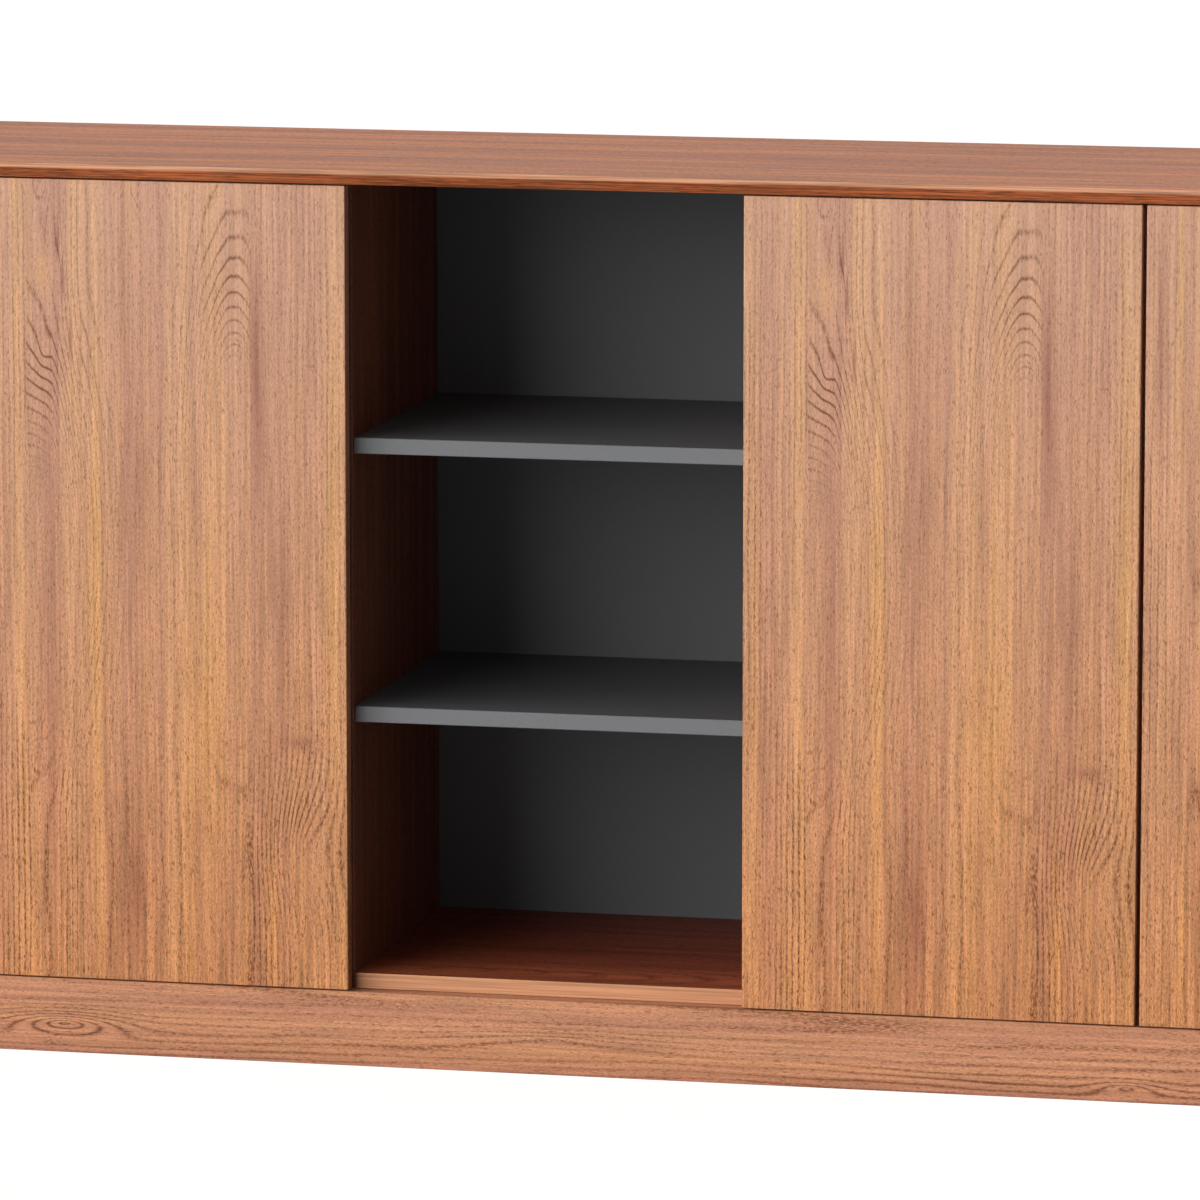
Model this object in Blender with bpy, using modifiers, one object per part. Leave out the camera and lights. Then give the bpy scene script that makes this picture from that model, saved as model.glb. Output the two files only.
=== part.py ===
"""Filing cupboard: five equal bays on a plinth, with two push-open doors on each side of an open niche.

Metres, +Z up. The front faces -Y, and the origin is the middle of the footprint, on the floor.
The doors hang on concealed cup hinges. Each hinge is drawn with its own coordinates: "in" runs from the
upright's inner face into the bay, and "back" runs from the door's back face into the carcass.
"""
import math

import bmesh
import bpy
from mathutils import Matrix
from mathutils import Vector

# Overall sizes
BAY_PITCH = 0.400
NICHE_WIDTH = 0.400
OVERALL_DEPTH = 0.400
OVERALL_HEIGHT = 0.908
LEVELS = 3
PLINTH_HEIGHT = 0.076

# Boards
BOARD = 0.016
PLINTH_BOARD = 0.025
BACK_BOARD = 0.008
BACK_INSET = 0.002
BACK_REBATE = 0.007
ARRIS = 0.0006

# Top
TOP_OVERHANG = 0.014
TOP_LIP = 0.0046
TOP_ARRIS = 0.0010

# Doors
DOOR_BOARD = 0.016
DOOR_GAP = 0.0046
DOOR_REVEAL = 0.0015
BUMPER_GAP = 0.002

# Shelves
SHELF_SETBACK = 0.004
SHELF_END_GAP = 0.001
NICHE_DOWEL_RADIUS = 0.004
NICHE_DOWEL_REACH = 0.010
LOOSE_SHELF_HEIGHT = 0.392
LOOSE_SHELF_FRONT_SETBACK = 0.010
PEG_RADIUS = 0.0024
PEG_REACH = 0.0070
PEG_TONGUE = 0.009
PEG_BITE = 0.0010
HOLE_DEPTH = 0.0105
HOLE_LINE = 0.037
HOLE_STEP = 0.032
HOLES_EACH_WAY = 2

# Cup hinges
HINGE_INSET = 0.100
CUP_BORE_RADIUS = 0.0175
CUP_TAB = 0.004
CUP_DEPTH = 0.0116
CUP_WALL = 0.001
FLANGE_WIDTH = 0.015
FLANGE_LENGTH = 0.056
FLANGE_THICKNESS = 0.001
HINGE_PIN_RADIUS = 0.001
LINK_EYE_RADIUS = 0.002
LINK_HALF_THICKNESS = 0.0015
LINK_WIDTH = 0.0104
LINK_KNEE_REACH = 0.005
LINK_KNEE_CLEARANCE = 0.0013
LINK_EYE_CLEARANCE = 0.0005
CUP_PIN_DEPTH = 0.0035
ARM_PIN_IN = 0.010
ARM_PIN_BACK = -0.0015
ARM_NOSE_RADIUS = 0.003
ARM_WIDTH = 0.014
ARM_SHEET = 0.0012
ARM_HEIGHT = 0.014
ARM_LENGTH = 0.056
ARM_NECK = 0.007
PLATE_THICKNESS = 0.002
PLATE_LENGTH = 0.044
PLATE_WIDTH = 0.018
WING_THICKNESS = 0.0016
WING_LENGTH = 0.014
WING_WIDTH = 0.050

# Push latches
LATCH_DROP = 0.052
LATCH_WIDTH = 0.013
LATCH_LENGTH = 0.058
LATCH_ARRIS = 0.0013
PLUNGER_RADIUS = 0.0032
PLUNGER_LENGTH = 0.046
PLUNGER_TIP_RADIUS = 0.0045
PLUNGER_TIP_LENGTH = 0.0012

# Fits: faces that meet keep FIT, and round pieces that turn or slide keep RUNNING all round
FIT = 0.0003
RUNNING = 0.00015

# Places worked out from the sizes above
TOP_UNDERSIDE = OVERALL_HEIGHT - BOARD
FLOOR_LEVEL = PLINTH_HEIGHT + BOARD
LEVEL_PITCH = (OVERALL_HEIGHT - FLOOR_LEVEL) / LEVELS
REAR = OVERALL_DEPTH / 2
DOOR_FRONT = -OVERALL_DEPTH / 2 + TOP_OVERHANG
DOOR_BACK = DOOR_FRONT + DOOR_BOARD
CARCASS_FRONT = DOOR_BACK + BUMPER_GAP
BACK_FACE = REAR - BACK_INSET - BACK_BOARD
PARTITION_REAR = BACK_FACE - FIT
NICHE_X = NICHE_WIDTH / 2
MID_X = NICHE_X + BAY_PITCH
END_X = MID_X + BAY_PITCH
DOOR_WIDTH = BAY_PITCH - DOOR_GAP
DOOR_LOW = PLINTH_HEIGHT + DOOR_REVEAL
DOOR_HIGH = TOP_UNDERSIDE - DOOR_REVEAL
DOOR_OVERLAY = BOARD - DOOR_GAP / 2
PEG_HOLE_RADIUS = PEG_RADIUS + RUNNING
LOOSE_SHELF_BOTTOM = FLOOR_LEVEL + LOOSE_SHELF_HEIGHT
PEG_LEVEL = LOOSE_SHELF_BOTTOM - PEG_RADIUS + PEG_BITE
CUP_OUTER = CUP_BORE_RADIUS - FIT
CUP_INNER = CUP_OUTER - CUP_WALL
CUP_CENTRE_IN = CUP_TAB + CUP_BORE_RADIUS - DOOR_OVERLAY
LINK_HALF_WIDTH = LINK_WIDTH / 2
CUP_PIN_FROM_CENTRE = math.sqrt(CUP_INNER ** 2 - LINK_HALF_WIDTH ** 2) - LINK_EYE_RADIUS - LINK_EYE_CLEARANCE
CUP_PIN = Vector((CUP_CENTRE_IN - CUP_PIN_FROM_CENTRE, -CUP_PIN_DEPTH))
ARM_PIN = Vector((ARM_PIN_IN, ARM_PIN_BACK))
CUP_FLOOR = CUP_WALL - CUP_DEPTH
LINK_KNEE = Vector((CUP_PIN.x + LINK_KNEE_REACH, CUP_FLOOR + LINK_KNEE_CLEARANCE + LINK_HALF_THICKNESS))
RIM_BACK = FIT + FLANGE_THICKNESS + FIT

ROUND_STEPS = 24
HOLE_STEPS = 12
PIN_STEPS = 12
EYE_STEPS = 8
# A cutter runs this far past the face it opens
OVERRUN = 0.001


# Scene and collections
for leftover in list(bpy.data.objects):
    bpy.data.objects.remove(leftover)


def new_collection(name):
    collection = bpy.data.collections.new(name)
    bpy.context.scene.collection.children.link(collection)
    return collection


PARTS = new_collection("filing_cupboard")
CUTTERS = new_collection("cutters")


def finish(name, colour, roughness, metallic=0.0):
    material = bpy.data.materials.new(name)
    material.use_nodes = True
    shader = material.node_tree.nodes["Principled BSDF"]
    shader.inputs["Base Color"].default_value = (*colour, 1.0)
    shader.inputs["Roughness"].default_value = roughness
    shader.inputs["Metallic"].default_value = metallic
    material.diffuse_color = (*colour, 1.0)
    return material


OAK_VENEER = finish("oak_veneer", (0.47, 0.22, 0.11), 0.5)
ANTHRACITE_BOARD = finish("anthracite_board", (0.04, 0.04, 0.042), 0.6)
NICKELLED_STEEL = finish("nickelled_steel", (0.62, 0.61, 0.58), 0.3, 1.0)
GREY_PLASTIC = finish("grey_plastic", (0.30, 0.30, 0.31), 0.45)


# Shared ways of making a solid
def add_object(name, mesh, material, location=(0, 0, 0), collection=PARTS):
    obj = bpy.data.objects.new(name, mesh)
    obj.location = location
    if material is not None and not mesh.materials:
        mesh.materials.append(material)
    collection.objects.link(obj)
    return obj


def box_mesh(name, size):
    shape = bmesh.new()
    bmesh.ops.create_cube(shape, size=1.0)
    bmesh.ops.scale(shape, vec=size, verts=shape.verts)
    mesh = bpy.data.meshes.new(name)
    shape.to_mesh(mesh)
    shape.free()
    return mesh


def block(name, low, high, material=None, collection=PARTS):
    """A box from its lowest to its highest corner, with its origin at its middle."""
    low = Vector(low)
    high = Vector(high)
    return add_object(name, box_mesh(name, high - low), material, (low + high) / 2, collection)


def rounded(obj, width, segments=1):
    bevel = obj.modifiers.new("eased_edges", "BEVEL")
    bevel.width = width
    bevel.segments = segments
    bevel.limit_method = "ANGLE"
    return obj


def board(name, low, high, material, arris=ARRIS):
    return rounded(block(name, low, high, material), arris)


def as_cutter(obj):
    obj.hide_render = True
    obj.display_type = "WIRE"
    return obj


def combine(obj, other, operation):
    boolean = obj.modifiers.new(operation.lower(), "BOOLEAN")
    boolean.operation = operation
    boolean.object = as_cutter(other)
    boolean.solver = "EXACT"
    return obj


def rods(name, centres, axis, radius, length, steps=HOLE_STEPS):
    """Closed round rods along one axis, all in one guide object."""
    shape = bmesh.new()
    turn = Vector((0, 0, 1)).rotation_difference(Vector(axis)).to_matrix().to_4x4()
    for centre in centres:
        place = Matrix.Translation(centre) @ turn
        bmesh.ops.create_cone(shape, cap_ends=True, segments=steps, radius1=radius, radius2=radius,
                              depth=length, matrix=place)
    mesh = bpy.data.meshes.new(name)
    shape.to_mesh(mesh)
    shape.free()
    return add_object(name, mesh, None, collection=CUTTERS)


def guide_block(name, low, high):
    return block(name, low, high, collection=CUTTERS)


def settled(obj):
    """Turns an object with its modifiers into a plain mesh, so that several objects can share it."""
    graph = bpy.context.evaluated_depsgraph_get()
    mesh = bpy.data.meshes.new_from_object(obj.evaluated_get(graph))
    if obj.type == "CURVE":
        shape = bmesh.new()
        shape.from_mesh(mesh)
        bmesh.ops.remove_doubles(shape, verts=shape.verts, dist=1e-6)
        shape.to_mesh(mesh)
        shape.free()
    bpy.data.objects.remove(obj)
    return mesh


def smooth(mesh):
    mesh.shade_smooth()
    mesh.set_sharp_from_angle(angle=math.radians(30))
    return mesh


def flat_piece(name, outline, holes, width):
    """A plate cut to an outline in the XY plane, with round holes, and as wide as told along Z."""
    curve = bpy.data.curves.new(name, "CURVE")
    curve.dimensions = "2D"
    curve.fill_mode = "BOTH"
    curve.extrude = width / 2
    for loop in [outline] + holes:
        spline = curve.splines.new("POLY")
        spline.points.add(len(loop) - 1)
        spline.use_cyclic_u = True
        for point, place in zip(spline.points, loop):
            point.co = (place[0], place[1], 0, 1)
    obj = bpy.data.objects.new(name, curve)
    CUTTERS.objects.link(obj)
    return settled(obj)


def arc(centre, radius, start, stop, steps):
    """Points on an arc about a centre, both ends included. The angles are in radians."""
    points = []
    for step in range(steps + 1):
        angle = start + (stop - start) * step / steps
        points.append(Vector((centre[0] + radius * math.cos(angle), centre[1] + radius * math.sin(angle))))
    return points


def circle(centre, radius):
    return arc(centre, radius, 0, 2 * math.pi, PIN_STEPS)[:-1]


# Plinth
def make_plinth():
    front_back = DOOR_FRONT + PLINTH_BOARD
    rear_front = REAR - PLINTH_BOARD
    low = 0
    high = PLINTH_HEIGHT
    board("plinth_front", (-END_X, DOOR_FRONT, low), (END_X, front_back, high), OAK_VENEER)
    board("plinth_back", (-END_X, rear_front, low), (END_X, REAR, high), OAK_VENEER)
    cross = {
        "plinth_end_left": PLINTH_BOARD / 2 - END_X,
        "plinth_cross_rail": 0,
        "plinth_end_right": END_X - PLINTH_BOARD / 2,
    }
    for name, middle in cross.items():
        board(name, (middle - PLINTH_BOARD / 2, front_back + FIT, low),
              (middle + PLINTH_BOARD / 2, rear_front - FIT, high), OAK_VENEER)


# Uprights
def shelf_holes(inner_faces):
    """Centres of the line-bored peg holes that open on each of the faces given."""
    centres = []
    for face in inner_faces:
        for back in (CARCASS_FRONT + HOLE_LINE, PARTITION_REAR - HOLE_LINE):
            for step in range(-HOLES_EACH_WAY, HOLES_EACH_WAY + 1):
                centres.append((face, back, PEG_LEVEL + step * HOLE_STEP))
    return centres


def dowel_holes(face):
    centres = []
    for level in range(1, LEVELS):
        for back in (CARCASS_FRONT + HOLE_LINE, PARTITION_REAR - HOLE_LINE):
            centres.append((face, back, FLOOR_LEVEL + level * LEVEL_PITCH - BOARD / 2))
    return centres


def make_uprights():
    for side, hand in ((-1, "left"), (1, "right")):
        low = PLINTH_HEIGHT + FIT
        high = TOP_UNDERSIDE - FIT

        outer = side * END_X
        inner = side * (END_X - BOARD)
        end = board("end_panel_" + hand, (min(outer, inner), CARCASS_FRONT, low),
                    (max(outer, inner), REAR, high), OAK_VENEER)
        rebate_x = sorted((inner - side * OVERRUN, inner + side * BACK_REBATE))
        combine(end, guide_block("rebate_" + hand, (rebate_x[0], PARTITION_REAR, low - OVERRUN),
                                 (rebate_x[1], REAR + OVERRUN, high + OVERRUN)), "DIFFERENCE")
        combine(end, rods("end_holes_" + hand, shelf_holes([inner]), (1, 0, 0), PEG_HOLE_RADIUS,
                          2 * HOLE_DEPTH), "DIFFERENCE")

        middle = side * MID_X
        mid = board("mid_partition_" + hand, (middle - BOARD / 2, CARCASS_FRONT, FLOOR_LEVEL + FIT),
                    (middle + BOARD / 2, PARTITION_REAR, high), OAK_VENEER)
        combine(mid, rods("mid_holes_" + hand, shelf_holes([middle]), (1, 0, 0), PEG_HOLE_RADIUS,
                          BOARD + 2 * OVERRUN), "DIFFERENCE")

        open_face = side * NICHE_X
        closed_face = side * (NICHE_X + BOARD)
        niche = board("niche_partition_" + hand, (min(open_face, closed_face), CARCASS_FRONT, low),
                      (max(open_face, closed_face), PARTITION_REAR, high), OAK_VENEER)
        combine(niche, rods("niche_holes_" + hand, shelf_holes([closed_face]), (1, 0, 0),
                            PEG_HOLE_RADIUS, 2 * HOLE_DEPTH), "DIFFERENCE")
        combine(niche, rods("dowel_holes_" + hand, dowel_holes(open_face), (1, 0, 0),
                            NICHE_DOWEL_RADIUS + RUNNING, 2 * (NICHE_DOWEL_REACH + FIT)), "DIFFERENCE")


# Bottoms and backs
def make_bottoms_and_backs():
    closed_low = NICHE_X + BOARD
    closed_high = END_X - BOARD
    spans = {"left": (-closed_high, -closed_low), "niche": (-NICHE_X, NICHE_X), "right": (closed_low, closed_high)}
    for place, (start, stop) in spans.items():
        board("bottom_panel_" + place, (start + FIT, CARCASS_FRONT, PLINTH_HEIGHT + FIT),
              (stop - FIT, PARTITION_REAR, FLOOR_LEVEL), OAK_VENEER)

    joint = NICHE_X + BOARD / 2
    reach = END_X - BOARD + BACK_REBATE
    for place, start, stop in (("left", -reach, -joint), ("niche", -joint, joint), ("right", joint, reach)):
        board("back_panel_" + place, (start + FIT, BACK_FACE, PLINTH_HEIGHT + FIT),
              (stop - FIT, BACK_FACE + BACK_BOARD, TOP_UNDERSIDE - FIT), ANTHRACITE_BOARD)


# Top: a board whose front and end edges are cut back below a thin lip
def make_top():
    size = Vector((2 * (END_X + TOP_OVERHANG), OVERALL_DEPTH, BOARD))
    mesh = box_mesh("top_panel", size)
    shape = bmesh.new()
    shape.from_mesh(mesh)
    bmesh.ops.bisect_plane(shape, geom=shape.verts[:] + shape.edges[:] + shape.faces[:],
                           plane_co=(0, 0, BOARD / 2 - TOP_LIP), plane_no=(0, 0, 1))
    for vert in shape.verts:
        if vert.co.z < -BOARD / 2 + OVERRUN:
            vert.co.x -= math.copysign(TOP_OVERHANG, vert.co.x)
            if vert.co.y < 0:
                vert.co.y += TOP_OVERHANG
    shape.to_mesh(mesh)
    shape.free()
    rounded(add_object("top_panel", mesh, OAK_VENEER, (0, 0, OVERALL_HEIGHT - BOARD / 2)), TOP_ARRIS, 3)


# Shelves
def make_niche_shelves():
    for level in range(1, LEVELS):
        name = "niche_shelf_" + str(level)
        surface = FLOOR_LEVEL + level * LEVEL_PITCH
        shelf = board(name, (-NICHE_X + FIT, CARCASS_FRONT + SHELF_SETBACK, surface - BOARD),
                      (NICHE_X - FIT, PARTITION_REAR - FIT, surface), ANTHRACITE_BOARD)
        middles = [(0, back, surface - BOARD / 2)
                   for back in (CARCASS_FRONT + HOLE_LINE, PARTITION_REAR - HOLE_LINE)]
        dowel_length = 2 * (NICHE_X + NICHE_DOWEL_REACH)
        combine(shelf, rods(name + "_dowels", middles, (1, 0, 0), NICHE_DOWEL_RADIUS, dowel_length), "UNION")


def make_loose_shelves():
    """One shelf in each closed bay. Its four pegs reach from under its ends into the line-bored holes."""
    bays = ((-END_X + BOARD, -MID_X - BOARD / 2), (-MID_X + BOARD / 2, -NICHE_X - BOARD),
            (NICHE_X + BOARD, MID_X - BOARD / 2), (MID_X + BOARD / 2, END_X - BOARD))
    for number, (start, stop) in enumerate(bays, start=1):
        name = "loose_shelf_" + str(number)
        shelf = board(name, (start + SHELF_END_GAP, CARCASS_FRONT + LOOSE_SHELF_FRONT_SETBACK,
                             LOOSE_SHELF_BOTTOM),
                      (stop - SHELF_END_GAP, PARTITION_REAR - SHELF_END_GAP, LOOSE_SHELF_BOTTOM + BOARD),
                      OAK_VENEER)
        middles = []
        for face, inward in ((start, 1), (stop, -1)):
            middle = face + inward * (SHELF_END_GAP + PEG_TONGUE - PEG_REACH) / 2
            for back in (CARCASS_FRONT + HOLE_LINE, PARTITION_REAR - HOLE_LINE):
                middles.append((middle, back, PEG_LEVEL))
        length = PEG_REACH + SHELF_END_GAP + PEG_TONGUE
        combine(shelf, rods(name + "_pegs", middles, (1, 0, 0), PEG_RADIUS, length), "UNION")


# Cup hinge pieces, drawn about the point where the upright's inner face meets the door's back plane
def cup_mesh(side):
    """The pressed cup: a turned shell with two ears, a pin across it, and its rim cut down by the door's edge."""
    centre = Vector((side * CUP_CENTRE_IN, 0, 0))
    profile = ((0, CUP_FLOOR), (CUP_INNER, CUP_FLOOR), (CUP_INNER, RIM_BACK), (CUP_OUTER, RIM_BACK),
               (CUP_OUTER, -CUP_DEPTH), (0, -CUP_DEPTH))
    mesh = bpy.data.meshes.new("hinge_cup")
    mesh.from_pydata([(radius, 0, height) for radius, height in profile],
                     [(step, step + 1) for step in range(len(profile) - 1)], [])
    cup = add_object("cup_shell", mesh, NICKELLED_STEEL, centre)
    cup.rotation_euler = (-math.pi / 2, 0, 0)
    screw = cup.modifiers.new("turned", "SCREW")
    screw.steps = ROUND_STEPS
    screw.render_steps = ROUND_STEPS
    screw.use_merge_vertices = True
    screw.merge_threshold = 0.00001

    ears = guide_block("cup_ears", (centre.x - FLANGE_WIDTH / 2, FIT, -FLANGE_LENGTH / 2),
                       (centre.x + FLANGE_WIDTH / 2, FIT + FLANGE_THICKNESS, FLANGE_LENGTH / 2))
    combine(cup, ears, "UNION")
    mouth = rods("cup_mouth", [centre], (0, 1, 0), CUP_INNER - FIT, CUP_DEPTH, ROUND_STEPS)
    combine(cup, mouth, "DIFFERENCE")
    edge_x = sorted((centre.x - side * (FLANGE_WIDTH / 2 + FIT), centre.x - side * (CUP_OUTER + OVERRUN)))
    notch = guide_block("cup_notch", (edge_x[0], 0, -CUP_OUTER), (edge_x[1], RIM_BACK + OVERRUN, CUP_OUTER))
    combine(cup, notch, "DIFFERENCE")
    pin_length = 2 * math.sqrt(CUP_INNER ** 2 - CUP_PIN_FROM_CENTRE ** 2) + CUP_WALL
    pin = rods("cup_pin", [(side * CUP_PIN.x, CUP_PIN.y, 0)], (0, 0, 1), HINGE_PIN_RADIUS, pin_length, PIN_STEPS)
    combine(cup, pin, "UNION")
    placed = Matrix.Translation(centre) @ cup.rotation_euler.to_matrix().to_4x4()
    settled_mesh = settled(cup)
    settled_mesh.transform(placed)
    return smooth(settled_mesh)


def strap_outline(start, knee, stop):
    """The outline of a cranked strap with a round eye at each end."""
    first = (knee - start).normalized()
    second = (stop - knee).normalized()
    spread = math.asin(LINK_HALF_THICKNESS / LINK_EYE_RADIUS)
    first_angle = math.atan2(first.y, first.x)
    second_angle = math.atan2(second.y, second.x)
    mitre = (Vector((-first.y, first.x)) + Vector((-second.y, second.x))).normalized()
    reach = LINK_HALF_THICKNESS / mitre.dot(Vector((-first.y, first.x)))
    outline = arc(start, LINK_EYE_RADIUS, first_angle + spread, first_angle + 2 * math.pi - spread, EYE_STEPS)
    outline.append(knee - mitre * reach)
    turn = second_angle + math.pi
    outline += arc(stop, LINK_EYE_RADIUS, turn + spread, turn + 2 * math.pi - spread, EYE_STEPS)
    outline.append(knee + mitre * reach)
    return outline


def sided(points, side):
    return [Vector((side * point.x, point.y)) for point in points]


def link_mesh(side):
    """The steel link between the arm's pin and the cup's pin, cranked to clear the cup's rim."""
    outline = strap_outline(CUP_PIN, LINK_KNEE, ARM_PIN)
    holes = [sided(circle(pin, HINGE_PIN_RADIUS + RUNNING), side) for pin in (CUP_PIN, ARM_PIN)]
    return smooth(flat_piece("hinge_link", sided(outline, side), holes, LINK_WIDTH))


def arm_mesh(side):
    """The channel arm on its mounting plate. Its open nose carries the link's pin."""
    foot = FIT + PLATE_THICKNESS / 2
    arm_front = CARCASS_FRONT - DOOR_BACK + ARM_NECK
    arm_back = arm_front + ARM_LENGTH
    nose = arc(ARM_PIN, ARM_NOSE_RADIUS, math.pi, 2 * math.pi, EYE_STEPS)
    outline = nose + [Vector((ARM_HEIGHT, arm_front)), Vector((ARM_HEIGHT, arm_back - ARM_NECK)),
                      Vector((foot, arm_back)), Vector((foot, arm_front))]
    arm = add_object("arm_channel", flat_piece("hinge_arm", sided(outline, side), [], ARM_WIDTH),
                     NICKELLED_STEEL)

    # Between the cheeks everything goes but the web, which stops short of the nose
    under_web = ARM_HEIGHT - ARM_SHEET
    web_front = arm_front + ARM_NECK / 2
    past_nose = ARM_PIN_BACK - ARM_NOSE_RADIUS - OVERRUN
    hollow = [Vector((-OVERRUN, past_nose)), Vector((ARM_HEIGHT + OVERRUN, past_nose)),
              Vector((ARM_HEIGHT + OVERRUN, web_front)), Vector((under_web, web_front)),
              Vector((under_web, arm_back + OVERRUN)), Vector((-OVERRUN, arm_back + OVERRUN))]
    pocket = flat_piece("arm_pocket", sided(hollow, side), [], ARM_WIDTH - 2 * ARM_SHEET)
    combine(arm, add_object("arm_pocket", pocket, None, collection=CUTTERS), "DIFFERENCE")

    pin = rods("arm_pin", [(side * ARM_PIN.x, ARM_PIN.y, 0)], (0, 0, 1), HINGE_PIN_RADIUS,
               ARM_WIDTH - ARM_SHEET, PIN_STEPS)
    combine(arm, pin, "UNION")
    plate_x = sorted((side * FIT, side * (FIT + PLATE_THICKNESS)))
    plate_middle = CARCASS_FRONT - DOOR_BACK + HOLE_LINE
    plate = guide_block("arm_plate", (plate_x[0], plate_middle - PLATE_LENGTH / 2, -PLATE_WIDTH / 2),
                        (plate_x[1], plate_middle + PLATE_LENGTH / 2, PLATE_WIDTH / 2))
    combine(arm, plate, "UNION")
    wing_x = sorted((side * FIT, side * (FIT + WING_THICKNESS)))
    wings = guide_block("arm_wings", (wing_x[0], plate_middle - WING_LENGTH / 2, -WING_WIDTH / 2),
                        (wing_x[1], plate_middle + WING_LENGTH / 2, WING_WIDTH / 2))
    combine(arm, wings, "UNION")
    return smooth(settled(arm))


def new_pivot(name, location, parent=None):
    """An empty on a joint's axis."""
    pivot = bpy.data.objects.new(name, None)
    pivot.empty_display_size = BOARD
    PARTS.objects.link(pivot)
    pivot.parent = parent
    pivot.location = Vector(location) - (parent.location if parent else Vector())
    return pivot


def hang(obj, world_place, pivot, pivot_place):
    obj.parent = pivot
    obj.location = Vector(world_place) - Vector(pivot_place)


# Doors with their hinges
def make_doors():
    """Each door hangs from its links and the links from their arms, so a door turns on two axes in a chain."""
    meshes = {side: (cup_mesh(side), link_mesh(side), arm_mesh(side)) for side in (-1, 1)}
    # The upright's inner face that carries each door's hinges, and the way from there into the bay
    hinged_on = ((-END_X + BOARD, 1), (-NICHE_X - BOARD, -1), (NICHE_X + BOARD, 1), (END_X - BOARD, -1))
    levels = {"lower": DOOR_LOW + HINGE_INSET, "upper": DOOR_HIGH - HINGE_INSET}
    middle = (DOOR_LOW + DOOR_HIGH) / 2
    for number, (face, side) in enumerate(hinged_on, start=1):
        tag = str(number)
        cup, link, arm = meshes[side]
        arm_axis = Vector((face + side * ARM_PIN.x, DOOR_BACK + ARM_PIN.y, middle))
        cup_axis = Vector((face + side * CUP_PIN.x, DOOR_BACK + CUP_PIN.y, middle))
        link_pivot = new_pivot("link_pivot_" + tag, arm_axis)
        door_pivot = new_pivot("door_pivot_" + tag, cup_axis, link_pivot)

        hinge_edge = face - side * DOOR_OVERLAY
        free_edge = hinge_edge + side * DOOR_WIDTH
        door = board("door_" + tag, (min(hinge_edge, free_edge), DOOR_FRONT, DOOR_LOW),
                     (max(hinge_edge, free_edge), DOOR_BACK, DOOR_HIGH), OAK_VENEER)
        hang(door, door.location.copy(), door_pivot, cup_axis)
        bore_x = face + side * CUP_CENTRE_IN
        bores = rods("cup_bores_" + tag, [(bore_x, DOOR_BACK, level) for level in levels.values()],
                     (0, 1, 0), CUP_BORE_RADIUS, 2 * (CUP_DEPTH + FIT), ROUND_STEPS)
        combine(door, bores, "DIFFERENCE")

        for place, level in levels.items():
            where = Vector((face, DOOR_BACK, level))
            ending = "_" + tag + "_" + place
            hang(add_object("hinge_cup" + ending, cup, NICKELLED_STEEL), where, door_pivot, cup_axis)
            hang(add_object("hinge_link" + ending, link, NICKELLED_STEEL), where, link_pivot, arm_axis)
            add_object("hinge_arm" + ending, arm, NICKELLED_STEEL, where)


# Push latches on the mid partitions, at the doors' free edges
def make_latches():
    faces = ((-MID_X - BOARD / 2, -1), (-MID_X + BOARD / 2, 1), (MID_X - BOARD / 2, -1), (MID_X + BOARD / 2, 1))
    level = TOP_UNDERSIDE - LATCH_DROP
    front = CARCASS_FRONT + FIT
    tip_front = DOOR_BACK + FIT
    tip_back = tip_front + PLUNGER_TIP_LENGTH
    for number, (face, side) in enumerate(faces, start=1):
        tag = str(number)
        near = face + side * FIT
        far = near + side * LATCH_WIDTH
        middle = (near + far) / 2
        body = board("latch_body_" + tag, (min(near, far), front, level - LATCH_WIDTH / 2),
                     (max(near, far), front + LATCH_LENGTH, level + LATCH_WIDTH / 2), GREY_PLASTIC,
                     LATCH_ARRIS)
        bore_length = 2 * (PLUNGER_LENGTH + FIT - (front - tip_front))
        combine(body, rods("latch_bore_" + tag, [(middle, front, level)], (0, 1, 0),
                           PLUNGER_RADIUS + RUNNING, bore_length, PIN_STEPS), "DIFFERENCE")

        profile = ((0, 0), (PLUNGER_RADIUS, 0), (PLUNGER_RADIUS, tip_front - tip_back + PLUNGER_LENGTH),
                   (PLUNGER_TIP_RADIUS, tip_front - tip_back + PLUNGER_LENGTH),
                   (PLUNGER_TIP_RADIUS, PLUNGER_LENGTH), (0, PLUNGER_LENGTH))
        mesh = bpy.data.meshes.new("latch_plunger")
        mesh.from_pydata([(radius, 0, height) for radius, height in reversed(profile)],
                         [(step, step + 1) for step in range(len(profile) - 1)], [])
        plunger = add_object("latch_plunger_" + tag, mesh, GREY_PLASTIC,
                             (middle, tip_front + PLUNGER_LENGTH, level))
        plunger.rotation_euler = (math.pi / 2, 0, 0)
        screw = plunger.modifiers.new("turned", "SCREW")
        screw.steps = PIN_STEPS
        screw.render_steps = PIN_STEPS
        screw.use_merge_vertices = True
        screw.merge_threshold = 0.00001


make_plinth()
make_uprights()
make_bottoms_and_backs()
make_top()
make_niche_shelves()
make_loose_shelves()
make_doors()
make_latches()
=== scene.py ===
"""Filing cupboard in red-brown stained oak veneer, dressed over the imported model, in a white studio.

Sizes are in metres, except in the veneer's and the boards' patterns, which are laid out in millimetres.
"""
import math

import bmesh
import bpy
from mathutils import Matrix
from mathutils import Vector
from mathutils.geometry import tessellate_polygon


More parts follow.
